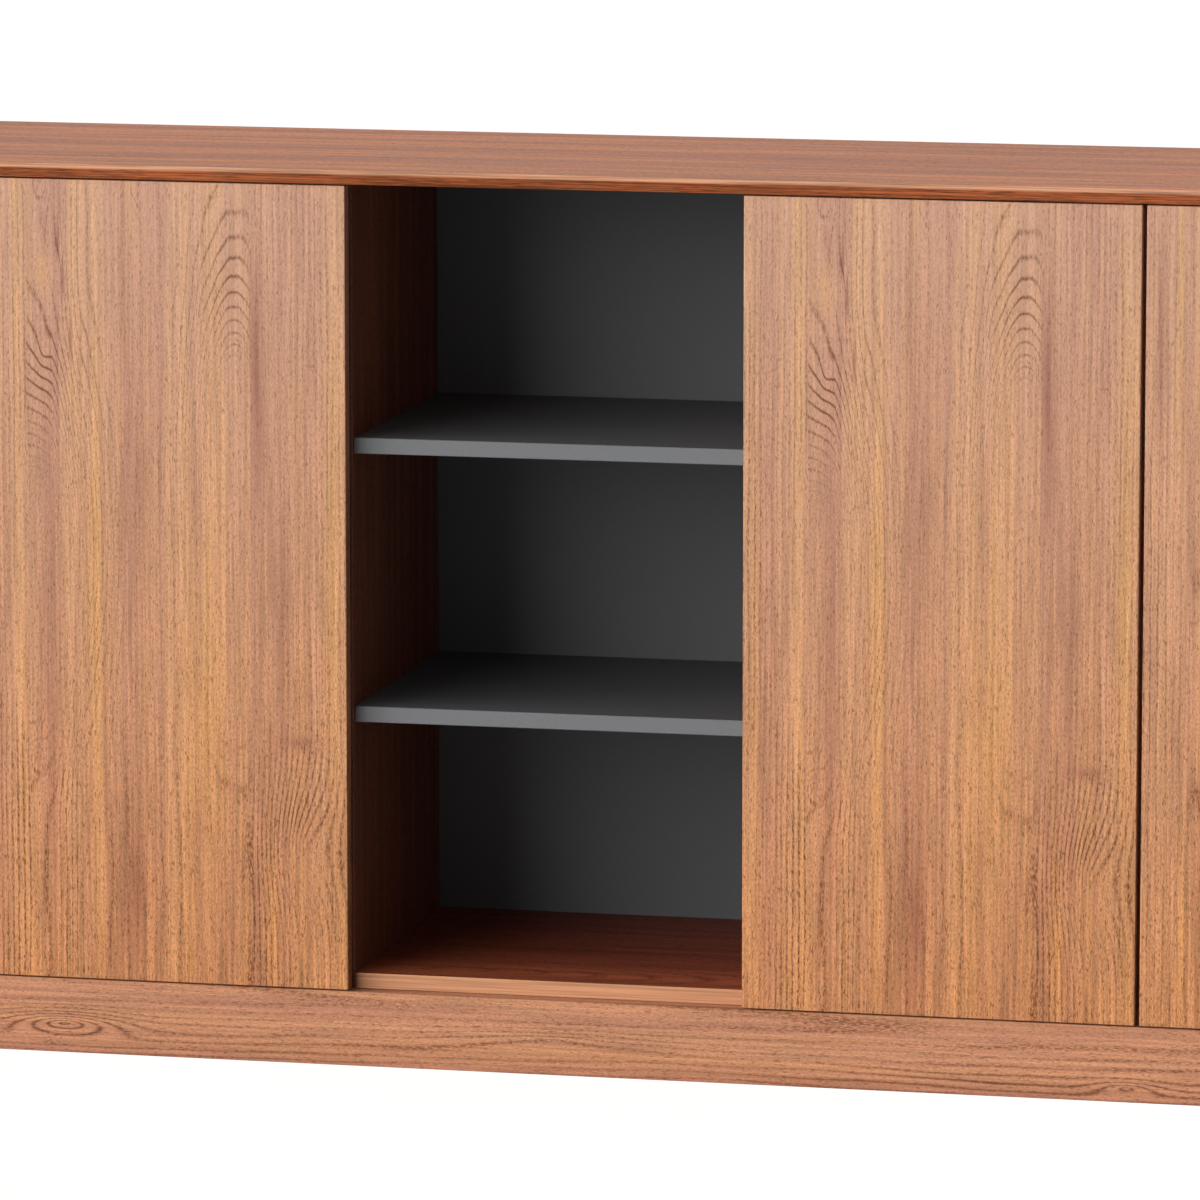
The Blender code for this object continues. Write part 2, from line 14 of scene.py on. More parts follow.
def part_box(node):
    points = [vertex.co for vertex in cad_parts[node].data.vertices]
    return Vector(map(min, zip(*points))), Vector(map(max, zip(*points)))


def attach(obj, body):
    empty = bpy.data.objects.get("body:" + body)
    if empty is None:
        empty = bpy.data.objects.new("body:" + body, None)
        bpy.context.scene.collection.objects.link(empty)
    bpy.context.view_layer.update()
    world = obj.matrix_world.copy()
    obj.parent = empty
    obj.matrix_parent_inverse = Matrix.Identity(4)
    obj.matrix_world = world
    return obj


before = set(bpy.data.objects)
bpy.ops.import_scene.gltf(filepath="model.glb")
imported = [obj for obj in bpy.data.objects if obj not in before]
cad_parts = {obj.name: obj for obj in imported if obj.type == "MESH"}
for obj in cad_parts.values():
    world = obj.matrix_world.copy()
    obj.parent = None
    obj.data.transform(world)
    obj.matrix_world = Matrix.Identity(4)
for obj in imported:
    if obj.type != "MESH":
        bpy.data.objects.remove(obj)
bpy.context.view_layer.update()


# Plinth
# A frame of boards on edge that lifts the carcass off the floor. Only its front board shows: chipboard faced
# with oak veneer, its grain running along the cupboard, stained red-brown and finished with a satin lacquer.
def colour(code):
    """An sRGB hex colour as linear red, green, blue and alpha."""
    parts = [int(code[start:start + 2], 16) / 255 for start in (1, 3, 5)]
    return [part / 12.92 if part <= 0.04045 else ((part + 0.055) / 1.055) ** 2.4 for part in parts] + [1.0]


def add(tree, kind, inputs, out=0, **settings):
    """Adds a shader node. A socket among the inputs is linked and any other value is set."""
    node = tree.nodes.new("ShaderNode" + kind)
    for name, value in settings.items():
        setattr(node, name, value)
    for name, value in inputs.items():
        if isinstance(value, bpy.types.NodeSocket):
            tree.links.new(value, node.inputs[name])
        else:
            node.inputs[name].default_value = value
    return node if out is None else node.outputs[out]


def new_material(name):
    """An empty material and its node tree."""
    material = bpy.data.materials.new(name)
    material.use_nodes = True
    material.node_tree.nodes.clear()
    return material, material.node_tree


def drawn_out(tree, place, across, along, detail, seed):
    """Cloudy variation from 0 to 1 whose patches are about so many mm across the grain and along it."""
    stretched = add(tree, "Mapping", {"Vector": place, "Location": (seed, seed, seed),
                                      "Scale": (1 / across, 1 / across, 1 / along)})
    return add(tree, "TexNoise", {"Vector": stretched, "Scale": 1.0, "Detail": detail, "Roughness": 0.55})


def marks(tree, place, spots):
    """The sum of soft oval spots, each (mm across, mm along, half width, half length, height)."""
    total = 0.0
    for across, along, half_width, half_length, height in spots:
        near = add(tree, "Mapping", {"Vector": place, "Scale": (1 / half_width, 0, 1 / half_length),
                                     "Location": (-across / half_width, 0, -along / half_length)})
        spot = add(tree, "TexGradient", {"Vector": near}, out="Fac", gradient_type="QUADRATIC_SPHERE")
        total = add(tree, "Math", {0: spot, 1: height, 2: total}, operation="MULTIPLY_ADD")
    return total


# Stained oak: tan heartwood with pinkish and golden stripes, dark growth lines and pores filled with stain
OAK_TAN = "#BF8B68"
OAK_PINK = "#B07C61"
OAK_GOLD = "#C48E5E"
# The stains' colour, which also paints shade on some boards
OAK_STAIN_AND_SHADE = "#9A6550"
OAK_LINE = "#74452D"
OAK_PORE = "#623824"
# A board without splices, in mm across, veneer that keeps its own tone, and the usual streaks
UNSPLICED = (-1000, 3000)
NO_TINT = (1, 1, 1)
PLAIN_STREAKS = (0.05, 7)
# How far in mm the rings drift and waver sideways, and how far they shift for each mm through the board
RING_DRIFT = 34.0
RING_WAVER = 5.0
RING_SLANT = 0.7
# How many ring widths the lines waver on a board that has strips of closer lines
CLOSER_WAVER = 0.8
# The power that makes a thin line of each ring's wave, and what is added to it between the splices
LINE_POWER = 3.5
SPLICED_POWER = 6.0
# Most of a noise pattern lies between these two values
NOISE_LOW = 0.36
NOISE_HIGH = 0.64
# From a door's top to its foot, in mm, and how strongly its figure shows at each, washed out by a painted
# sheen towards the top
DOOR_GRAIN = 815
PAINTED_SHEEN_TOP_FIGURE = 0.7
PAINTED_SHEEN_FOOT_FIGURE = 1.4
# A face that looks up or down less than this is an edge of a lying board
EDGE_FACING = 0.85
# The lip's pale tint, a painted highlight, ends softly over twice this many mm
LIP_SOFTNESS = 1.2


def oak_veneer(name, corner, ways, heart, eyes=(), splices=UNSPLICED, closer=(), stains_and_shade=(), golds=(),
               calms=(), bolds=(), knots=(), seed=0.0, line_depth=0.6, streaks=PLAIN_STREAKS, start=NO_TINT,
               end=NO_TINT, edging=None, lip=None, pegs=None):
    """Sliced oak veneer laid out in mm from a board's corner. ways says which way runs across the grain,
    through the board and along the grain. The growth lines are rings about the heart of the log, (mm across
    from the corner, mm behind the face, slope, ring width), bent by the eyes that lie between the two
    splices. closer lists strips of closer lines, each (from, to, lines more per mm), and knots bend the
    lines across the splices too. stains_and_shade are darker stripes and patches, real stains on most
    boards and painted shade on some, and golds are yellower stripes. The lines fade in the calms and are
    unbroken and dark in the bolds. All but closer are spots, as marks takes them. streaks are the strength
    and the width in mm of lighter and darker streaks. The tint runs from start to end down a door, as painted
    sheen and light, and is even where they are the same. edging is the tint of the strip on the board's edges
    and the strength of its streaks, and lip the paler tint of its top, a painted highlight, and the level in
    mm down to which that reaches. pegs are the level and the tone of steel pegs below the board."""
    material, tree = new_material(name)
    where = add(tree, "TexCoord", {}, out="Object")
    scale = [0.0, 0.0, 0.0]
    for way in ways:
        scale["XYZ".index(way[1])] = 1000.0 if way[0] == "+" else -1000.0
    from_corner = add(tree, "VectorMath", {0: where, 1: corner}, operation="SUBTRACT")
    in_mm = add(tree, "VectorMath", {0: from_corner, 1: scale}, operation="MULTIPLY")
    parts = add(tree, "SeparateXYZ", {0: in_mm}, out=None)
    across, through, along = [parts.outputs[way[1]] for way in ways]
    place = add(tree, "CombineXYZ", {0: across, 1: through, 2: along})

    # Rings about the heart, wavering a little along the grain
    heart_across, heart_depth, slope, ring_width = heart
    drift = drawn_out(tree, place, 75, 700, 2, seed)
    waver = drawn_out(tree, place, 17, 130, 1, seed + 3.1)
    bent = add(tree, "Math", {0: drift, 1: RING_DRIFT, 2: across}, operation="MULTIPLY_ADD")
    bent = add(tree, "Math", {0: waver, 1: RING_WAVER, 2: bent}, operation="MULTIPLY_ADD")
    bent = add(tree, "Math", {0: through, 1: RING_SLANT, 2: bent}, operation="MULTIPLY_ADD")
    from_heart = add(tree, "Math", {0: bent, 1: heart_across}, operation="SUBTRACT")
    behind = add(tree, "Math", {0: along, 1: slope, 2: heart_depth}, operation="MULTIPLY_ADD")
    away = add(tree, "VectorMath", {0: add(tree, "CombineXYZ", {0: from_heart, 1: behind})}, out="Value",
               operation="LENGTH")
    eye = marks(tree, place, eyes)
    past_first = add(tree, "Math", {0: across, 1: splices[0]}, operation="GREATER_THAN")
    before_last = add(tree, "Math", {0: across, 1: splices[1]}, operation="LESS_THAN")
    between = add(tree, "Math", {0: past_first, 1: before_last}, operation="MULTIPLY")
    eye = add(tree, "Math", {0: eye, 1: between, 2: marks(tree, place, knots)}, operation="MULTIPLY_ADD")
    rings = add(tree, "Math", {0: away, 1: 1 / ring_width, 2: eye}, operation="MULTIPLY_ADD")
    for first, last, more in closer:
        strip = add(tree, "MapRange", {"Value": across, 1: first, 2: last, 3: 0.0, 4: (last - first) * more})
        rings = add(tree, "Math", {0: rings, 1: strip}, operation="ADD")
    if closer:
        rings = add(tree, "Math", {0: waver, 1: CLOSER_WAVER, 2: rings}, operation="MULTIPLY_ADD")
    wave = add(tree, "Math", {0: add(tree, "Math", {0: rings, 1: 2 * math.pi}, operation="MULTIPLY")},
               operation="COSINE")
    power = LINE_POWER
    if closer:
        power = add(tree, "Math", {0: between, 1: SPLICED_POWER, 2: LINE_POWER}, operation="MULTIPLY_ADD")
    line = add(tree, "Math", {0: add(tree, "MapRange", {"Value": wave, 1: -1.0, 2: 1.0}), 1: power},
               operation="POWER")

    # The lines fade in and out over the board and are broken into rows of pores
    fading = drawn_out(tree, place, 40, 480, 1, seed + 5.7)
    clear = add(tree, "MapRange", {"Value": fading, 1: 0.40, 2: 0.62, 3: 0.40, 4: 1.0})
    figured = add(tree, "Math", {0: eye}, operation="ABSOLUTE")
    strong = add(tree, "Math", {0: figured, 1: 0.5, 2: clear}, operation="MULTIPLY_ADD", use_clamp=True)
    clear = add(tree, "Math", {0: strong, 1: marks(tree, place, calms)}, operation="SUBTRACT", use_clamp=True)
    broken = drawn_out(tree, place, 1.7, 5.5, 1, seed)
    dots = add(tree, "MapRange", {"Value": broken, 1: 0.40, 2: 0.60, 3: 0.2, 4: 1.0})
    bold = marks(tree, place, bolds)
    dots = add(tree, "Math", {0: dots, 1: bold}, operation="ADD", use_clamp=True)
    line = add(tree, "Math", {0: add(tree, "Math", {0: line, 1: clear}, operation="MULTIPLY"), 1: dots},
               operation="MULTIPLY")

    # Real pores are 0.3 mm wide and a few mm long. They are drawn 1.3 mm wide so that they show from here.
    pore = add(tree, "Math", {0: line, 1: 0.12, 2: drawn_out(tree, place, 1.3, 6, 1, seed + 1.3)},
               operation="MULTIPLY_ADD")
    pore = add(tree, "MapRange", {"Value": pore, 1: 0.60, 2: 0.70})
    fleck = drawn_out(tree, place, 1.5, 3.0, 1, seed + 2.2)

    # On a door a painted sheen veils the figure towards the top, standing in for the lacquer's reflection of
    # the light
    on_door = start != end
    painted_sheen_veil = 1.0
    if on_door:
        share = add(tree, "Math", {0: along, 1: 1 / DOOR_GRAIN}, operation="MULTIPLY", use_clamp=True)
        painted_sheen_veil = add(tree, "MapRange", {"Value": share, 3: PAINTED_SHEEN_TOP_FIGURE, 4: PAINTED_SHEEN_FOOT_FIGURE})

    # Tan, pink and golden stripes, then the darker ones of stain and of painted shade, the growth lines and
    # the pores
    pink = add(tree, "MapRange", {"Value": drawn_out(tree, place, 34, 2600, 3, seed + 7.9), 1: 0.38, 2: 0.62})
    tone = add(tree, "Mix", {0: pink, 6: colour(OAK_TAN), 7: colour(OAK_PINK)}, out=2, data_type="RGBA")
    gold = add(tree, "MapRange", {"Value": drawn_out(tree, place, 12, 900, 2, seed + 9.4), 1: 0.45, 2: 0.75,
                                  4: 0.6})
    gold = add(tree, "Math", {0: gold, 1: marks(tree, place, golds)}, operation="ADD", use_clamp=True)
    tone = add(tree, "Mix", {0: gold, 6: tone, 7: colour(OAK_GOLD)}, out=2, data_type="RGBA")
    stain_and_shade = add(tree, "Math", {0: marks(tree, place, stains_and_shade), 1: 0.0}, operation="ADD", use_clamp=True)
    tone = add(tree, "Mix", {0: stain_and_shade, 6: tone, 7: colour(OAK_STAIN_AND_SHADE)}, out=2, data_type="RGBA")
    depth = add(tree, "Math", {0: bold, 1: 0.7, 2: line_depth}, operation="MULTIPLY_ADD")
    depth = add(tree, "Math", {0: depth, 1: painted_sheen_veil}, operation="MULTIPLY")
    depth = add(tree, "Math", {0: line, 1: depth}, operation="MULTIPLY", use_clamp=True)
    tone = add(tree, "Mix", {0: depth, 6: tone, 7: colour(OAK_LINE)}, out=2, data_type="RGBA")
    filled = add(tree, "Math", {0: add(tree, "Math", {0: pore, 1: 0.5}, operation="MULTIPLY"), 1: painted_sheen_veil},
                 operation="MULTIPLY", use_clamp=True)
    tone = add(tree, "Mix", {0: filled, 6: tone, 7: colour(OAK_PORE)}, out=2, data_type="RGBA")

    # Between the lines the fibres are flecked and run in fine lighter and darker streaks and in broader
    # ones, and the stain takes unevenly, in soft patches
    light = add(tree, "MapRange", {"Value": fleck, 1: 0.3, 2: 0.7, 3: 0.86, 4: 1.14})
    for width, length, detail, later, strength in (
            (2.4, 110, 3, 6.6, 0.14), (streaks[1], 420, 2, 8.8, streaks[0]), (24, 190, 2, 3.9, 0.045)):
        uneven = drawn_out(tree, place, width, length, detail, seed + later)
        streak = add(tree, "MapRange", {"Value": uneven, 1: NOISE_LOW, 2: NOISE_HIGH, 3: 1 - strength,
                                        4: 1 + strength})
        light = add(tree, "Math", {0: light, 1: streak}, operation="MULTIPLY")
    light = add(tree, "Mix", {0: painted_sheen_veil, 2: 1.0, 3: light}, out=0, clamp_factor=False)
    tone = add(tree, "VectorMath", {0: tone, "Scale": light}, operation="SCALE")
    # On a door the tint pales towards the top and deepens towards the foot: painted sheen and light
    if on_door:
        tint = add(tree, "Mix", {0: share, 4: start, 5: end}, out=1, data_type="VECTOR")
        tone = add(tree, "VectorMath", {0: tone, 1: tint}, operation="MULTIPLY")
    elif start != NO_TINT:
        tone = add(tree, "VectorMath", {0: tone, 1: start}, operation="MULTIPLY")
    if edging:
        facing = add(tree, "SeparateXYZ", {0: add(tree, "TexCoord", {}, out="Normal")}, out="Z")
        edge = add(tree, "Math", {0: add(tree, "Math", {0: facing}, operation="ABSOLUTE"), 1: EDGE_FACING},
                   operation="LESS_THAN")
        uneven = drawn_out(tree, place, 2.4, 150, 3, seed + 4.4)
        streak = add(tree, "MapRange", {"Value": uneven, 1: NOISE_LOW, 2: 0.62, 3: 1 - 2 * edging[1],
                                        4: 1 + edging[1]})
        strip = colour(OAK_TAN)[:3]
        if lip:
            # Painted highlight: the top of the edge, down to the lip's level, takes the paler tint
            above = add(tree, "MapRange", {"Value": through, 1: lip[1] - LIP_SOFTNESS,
                                            2: lip[1] + LIP_SOFTNESS})
            tint = add(tree, "Mix", {0: above, 4: edging[0], 5: lip[0]}, out=1, data_type="VECTOR")
            strip = add(tree, "VectorMath", {0: strip, 1: tint}, operation="MULTIPLY")
            # Pores lie along the undercut as dark dashes
            dashes = drawn_out(tree, place, 1.6, 24, 1, seed + 5.5)
            dash = add(tree, "MapRange", {"Value": dashes, 1: 0.52, 2: 0.64, 3: 1.0, 4: 0.45})
            # Below the pale tint an upright face is made darker than the undercut: painted shade
            painted_shade = add(tree, "MapRange", {"Value": facing, 1: -0.5, 2: -0.1, 3: 1.0, 4: 0.62})
            dash = add(tree, "Math", {0: dash, 1: painted_shade}, operation="MULTIPLY")
            dash = add(tree, "Mix", {0: above, 2: dash, 3: 1.0}, out=0)
            streak = add(tree, "Math", {0: streak, 1: dash}, operation="MULTIPLY")
        else:
            strip = [part * tint for part, tint in zip(strip, edging[0])]
        strip = add(tree, "VectorMath", {0: strip, "Scale": streak}, operation="SCALE")
        tone = add(tree, "Mix", {0: edge, 6: tone, 7: strip}, out=2, data_type="RGBA")

    hollow = add(tree, "Math", {0: line, 1: 0.4, 2: pore}, operation="MULTIPLY_ADD")
    bump = add(tree, "Bump", {"Strength": 0.3, "Distance": 0.0002, "Height": hollow}, invert=True)
    rough = add(tree, "MapRange", {"Value": hollow, 3: 0.48, 4: 0.66})
    metal = 0.0
    if pegs:
        height = add(tree, "SeparateXYZ", {0: where}, out="Z")
        metal = add(tree, "Math", {0: height, 1: pegs[0]}, operation="LESS_THAN")
        tone = add(tree, "Mix", {0: metal, 6: tone, 7: colour(pegs[1])}, out=2, data_type="RGBA")
        rough = add(tree, "Math", {0: metal, 1: -0.2, 2: rough}, operation="MULTIPLY_ADD")
    shader = add(tree, "BsdfPrincipled", {"Base Color": tone, "Metallic": metal, "Roughness": rough,
                                          "Normal": bump, "Specular IOR Level": 0.2})
    add(tree, "OutputMaterial", {"Surface": shader}, out=None)
    return material


def dress(node, material):
    """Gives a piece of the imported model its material."""
    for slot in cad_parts[node].material_slots:
        slot.material = material


PLINTH_HEART = (30, 14, 0.012, 6.0)
PLINTH_EYES = ((46, 500, 26, 120, 5.0), (40, 1010, 26, 200, 2.0), (62, 1590, 14, 70, 2.5))
# A darker band along the plinth's foot: partly the veneer's tone, partly painted shade near the floor
PLINTH_FOOT_TONE_AND_SHADE = ((86, 1000, 60, 5000, 0.9),)
PLINTH_BOLDS = ((66, 1300, 36, 1400, 0.6), (46, 500, 40, 180, 0.5))
PLINTH_TINT = (1.03, 0.975, 0.955)
CROSS_HEART = (-60, 8, 0.02, 6.0)
low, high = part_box("plinth_front")
corner = (low.x, low.y, high.z)
veneer = oak_veneer("plinth_oak_veneer", corner, ("-Z", "+Y", "+X"), PLINTH_HEART, eyes=PLINTH_EYES,
                    stains_and_shade=PLINTH_FOOT_TONE_AND_SHADE, bolds=PLINTH_BOLDS, seed=11.0, line_depth=0.8, start=PLINTH_TINT,
                    end=PLINTH_TINT)
for node in ("plinth_front", "plinth_back"):
    dress(node, veneer)
veneer = oak_veneer("plinth_cross_oak_veneer", corner, ("-Z", "+X", "+Y"), CROSS_HEART, seed=14.0)
for node in ("plinth_end_left", "plinth_end_right", "plinth_cross_rail"):
    dress(node, veneer)


# Uprights
# The end panels and the partitions: 16 mm chipboard veneered with oak, grain upright, with lines of 5 mm
# holes for the shelf pegs. They stand on the plinth, dowelled to the boards below and above.
END_HEART = (190, 6, 0.10, 7.5)
END_TINT = (1.0, 1.04, 1.05)
PARTITION_HEART = (-300, 20, 0.03, 6.5)
MID_TINT = (0.66, 0.55, 0.50)
# The niche's sides are tinted nearly black-brown, darker than the doors: painted shade of the deep niche, on
# both faces of these partitions
NICHE_SIDE_PAINTED_SHADE_TINT = (0.37, 0.26, 0.24)
NICHE_SIDE_STREAKS = (0.24, 11)
for upright, heart, seed, tint, streaks in (
        ("end_panel_left", END_HEART, 21.0, END_TINT, PLAIN_STREAKS),
        ("end_panel_right", END_HEART, 22.5, END_TINT, PLAIN_STREAKS),
        ("mid_partition_left", PARTITION_HEART, 24.0, MID_TINT, PLAIN_STREAKS),
        ("mid_partition_right", PARTITION_HEART, 25.5, MID_TINT, PLAIN_STREAKS),
        ("niche_partition_left", PARTITION_HEART, 27.0, NICHE_SIDE_PAINTED_SHADE_TINT, NICHE_SIDE_STREAKS),
        ("niche_partition_right", PARTITION_HEART, 28.5, NICHE_SIDE_PAINTED_SHADE_TINT, NICHE_SIDE_STREAKS)):
    low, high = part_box(upright)
    dress(upright, oak_veneer(upright + "_oak_veneer", (low.x, low.y, high.z), ("+Y", "+X", "-Z"), heart,
                              seed=seed, streaks=streaks, start=tint, end=tint))


# Bottoms
# The floor boards of the bays: 16 mm chipboard veneered with oak, grain running along the cupboard, with a
# plain 1 mm edging on the front. They lie on the plinth between the uprights.
BOTTOM_HEART = (60, 6, 0.16, 9.0)
BOTTOM_STREAKS = (0.26, 15)
BOTTOM_EDGING = ((1.01, 0.96, 0.91), 0.12)
BOTTOM_TINT = (0.70, 0.56, 0.50)
# Painted shade: the niche's floor is tinted nearly as deep and red as its sides, with a darker painted shadow
# patch towards the back
NICHE_FLOOR_PAINTED_SHADE_TINT = (0.60, 0.30, 0.22)
NICHE_FLOOR_PAINTED_SHADOW = ((250, 350, 260, 520, 4.0),)
for bottom, seed, tint, stains_and_shade in (("bottom_panel_left", 31.0, BOTTOM_TINT, ()),
                                   ("bottom_panel_niche", 32.5, NICHE_FLOOR_PAINTED_SHADE_TINT, NICHE_FLOOR_PAINTED_SHADOW),
                                   ("bottom_panel_right", 34.0, BOTTOM_TINT, ())):
    low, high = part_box(bottom)
    dress(bottom, oak_veneer(bottom + "_oak_veneer", (low.x, low.y, high.z), ("+Y", "+Z", "+X"), BOTTOM_HEART,
                             stains_and_shade=stains_and_shade, seed=seed, line_depth=1.0, streaks=BOTTOM_STREAKS, start=tint,
                             end=tint, edging=BOTTOM_EDGING))


# Backs and niche shelves
# 8 mm backs in the uprights' rebates and two 16 mm shelves on dowels: chipboard faced with anthracite
# melamine, pressed against a finely pearled plate, which leaves it matt with a soft sheen.
SHELF_MELAMINE = "#464749"
# The backs are a little darker than the shelves, though of the same melamine: painted shade at the back of
# the niche
BACK_MELAMINE_AND_PAINTED_SHADE = "#434446"
SHELF_EDGING = "#626365"


def anthracite_melamine(name, code):
    """Anthracite board in the grey given, with the shelves' paler edging on what faces forward in front."""
    material, tree = new_material(name)
    where = add(tree, "TexCoord", {}, out="Object")
    in_mm = add(tree, "VectorMath", {0: where, "Scale": 1000.0}, operation="SCALE")
    # The pearling is 0.4 mm across and is drawn at 1.5 mm so that it shows, over clouds of 220 mm
    pearl = add(tree, "TexNoise", {"Vector": in_mm, "Scale": 1 / 1.5, "Detail": 1.0})
    cloud = add(tree, "TexNoise", {"Vector": in_mm, "Scale": 1 / 220, "Detail": 2.0})
    light = add(tree, "MapRange", {"Value": pearl, 1: 0.3, 2: 0.7, 3: 0.94, 4: 1.06})
    light = add(tree, "Math", {0: light, 1: add(tree, "MapRange", {"Value": cloud, 3: 0.95, 4: 1.05})},
                operation="MULTIPLY")
    # The front edges carry a 1 mm ABS edging of a lighter grey
    facing = add(tree, "SeparateXYZ", {0: add(tree, "TexCoord", {}, out="Normal")}, out="Y")
    front = add(tree, "Math", {0: facing, 1: -0.5}, operation="LESS_THAN")
    depth = add(tree, "SeparateXYZ", {0: where}, out="Y")
    on_shelf = add(tree, "Math", {0: depth, 1: 0.0}, operation="LESS_THAN")
    edge = add(tree, "Math", {0: front, 1: on_shelf}, operation="MULTIPLY")
    tone = add(tree, "Mix", {0: edge, 6: colour(code), 7: colour(SHELF_EDGING)}, out=2, data_type="RGBA")
    tone = add(tree, "VectorMath", {0: tone, "Scale": light}, operation="SCALE")
    bump = add(tree, "Bump", {"Strength": 0.15, "Distance": 0.0001, "Height": pearl})
    shader = add(tree, "BsdfPrincipled", {"Base Color": tone, "Roughness": 0.55, "Normal": bump,
                                          "Specular IOR Level": 0.4})
    add(tree, "OutputMaterial", {"Surface": shader}, out=None)
    return material


back_melamine = anthracite_melamine("anthracite_melamine_back", BACK_MELAMINE_AND_PAINTED_SHADE)
for board in ("back_panel_left", "back_panel_niche", "back_panel_right"):
    dress(board, back_melamine)
shelf_melamine = anthracite_melamine("anthracite_melamine_shelf", SHELF_MELAMINE)
for board in ("niche_shelf_1", "niche_shelf_2"):
    dress(board, shelf_melamine)


# Backs' screws
# Pan heads with a cross recess, pressed from wire and zinc plated, which is a cooler and duller grey than
# nickel. They go through the backs' edges into the uprights.
ZINC = "#B4B8BC"
SCREW_STEPS = 24
# A screw's size is its head's radius and height
BACK_SCREW = (0.0032, 0.0014)
BACK_SCREW_FROM_EDGE = 0.0036
BACK_SCREW_FROM_END = 0.030
BACK_SCREW_ROWS = 5


def plated_steel(name, code, smooth, dull):
    """Plated sheet or wire, with a roughness between smooth and dull."""
    material, tree = new_material(name)
    where = add(tree, "TexCoord", {}, out="Object")
    in_mm = add(tree, "VectorMath", {0: where, "Scale": 1000.0}, operation="SCALE")
    # Faint rolling marks, 1 mm apart and drawn out to 20 mm
    rolled = add(tree, "Mapping", {"Vector": in_mm, "Scale": (1.0, 0.05, 1.0)})
    mark = add(tree, "TexNoise", {"Vector": rolled, "Scale": 1.0, "Detail": 2.0})
    rough = add(tree, "MapRange", {"Value": mark, 1: 0.3, 2: 0.7, 3: smooth, 4: dull})
    light = add(tree, "MapRange", {"Value": mark, 1: 0.3, 2: 0.7, 3: 0.97, 4: 1.02})
    tone = add(tree, "VectorMath", {0: colour(code)[:3], "Scale": light}, operation="SCALE")
    shader = add(tree, "BsdfPrincipled", {"Base Color": tone, "Metallic": 1.0, "Roughness": rough})
    add(tree, "OutputMaterial", {"Surface": shader}, out=None)
    return material


def new_piece(name, shape, material, body):
    """Makes a bmesh an object that rides on a body."""
    bmesh.ops.recalc_face_normals(shape, faces=shape.faces)
    mesh = bpy.data.meshes.new(name)
    shape.to_mesh(mesh)
    shape.free()
    mesh.materials.append(material)
    piece = bpy.data.objects.new(name, mesh)
    bpy.context.scene.collection.objects.link(piece)
    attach(piece, body)


def add_turned(shape, profile, steps, place, facing, turn=0.0):
    """Adds a turned form, from its (radius, height) profile, standing on a surface. Returns its open top
    ring and the matrix that stands it there."""
    stand = Matrix.Translation(place) @ Vector(facing).to_track_quat("Z", "Y").to_matrix().to_4x4()
    stand = stand @ Matrix.Rotation(turn, 4, "Z")
    rings = [[shape.verts.new(stand @ Vector((radius * math.cos(2 * math.pi * step / steps),
                                              radius * math.sin(2 * math.pi * step / steps), height)))
              for step in range(steps)] for radius, height in profile]
    shape.faces.new(list(reversed(rings[0])))
    for lower, upper in zip(rings, rings[1:]):
        for step in range(steps):
            after = (step + 1) % steps
            shape.faces.new((lower[step], lower[after], upper[after], upper[step])).smooth = True
    return rings[-1], stand


def add_screw(shape, size, place, facing, turn):
    """Adds a low round head with a tapering cross recess, all in shares of its radius and height. turn is
    how far round the recess stands, in radians, and differs from screw to screw as on a real piece."""
    radius, height = size
    profile = ((radius, 0.0), (radius, 0.35 * height), (0.93 * radius, 0.7 * height),
               (0.78 * radius, 0.93 * height), (0.66 * radius, height))
    top, stand = add_turned(shape, profile, SCREW_STEPS, place, facing, turn)
    slot_length, slot_width = 0.54 * radius, 0.12 * radius
    corners = []
    for quarter in range(4):
        for corner in ((slot_length, -slot_width), (slot_length, slot_width), (slot_width, slot_width)):
            corners.append(Matrix.Rotation(quarter * math.pi / 2, 2) @ Vector(corner))
    mouth, depth = [[shape.verts.new(stand @ Vector((share * corner.x, share * corner.y, level)))
                     for corner in corners] for share, level in ((1.0, height), (0.55, 0.3 * height))]
    around = top + mouth
    for triangle in tessellate_polygon([[vert.co for vert in top], [vert.co for vert in mouth]]):
        shape.faces.new([around[index] for index in triangle])
    for step in range(len(mouth)):
        after = (step + 1) % len(mouth)
        shape.faces.new((mouth[step], mouth[after], depth[after], depth[step]))
    shape.faces.new(depth)


zinc = plated_steel("zinc_plated_steel", ZINC, 0.30, 0.42)
for back in ("left", "niche", "right"):
    low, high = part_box("back_panel_" + back)
    places = [low.x + BACK_SCREW_FROM_EDGE, high.x - BACK_SCREW_FROM_EDGE]
    if back != "niche":
        places.append((low.x + high.x) / 2)
    row_pitch = (high.z - low.z - 2 * BACK_SCREW_FROM_END) / (BACK_SCREW_ROWS - 1)
    shape = bmesh.new()
    for row in range(BACK_SCREW_ROWS):
        level = low.z + BACK_SCREW_FROM_END + row_pitch * row
        for place in places:
            add_screw(shape, BACK_SCREW, (place, high.y, level), (0, 1, 0), 0.9 * row + 7 * place)
    new_piece("back_screws_" + back, shape, zinc, "carcass")


# Loose shelves
# One in each closed bay: 16 mm veneered chipboard, grain along the cupboard, on four nickelled steel pegs.
NICKEL = "#C9C7C1"
# Just under the boards, so that what lies lower is a peg
PEG_TOP = 0.4839
LOOSE_SHELF_HEART = (120, 6, 0.10, 8.0)
for number in range(1, 5):
    shelf = "loose_shelf_%d" % number
    low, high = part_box(shelf)
    dress(shelf, oak_veneer(shelf + "_oak_veneer", (low.x, low.y, high.z), ("+Y", "+Z", "+X"),
                            LOOSE_SHELF_HEART, seed=40.0 + number, pegs=(PEG_TOP, NICKEL)))


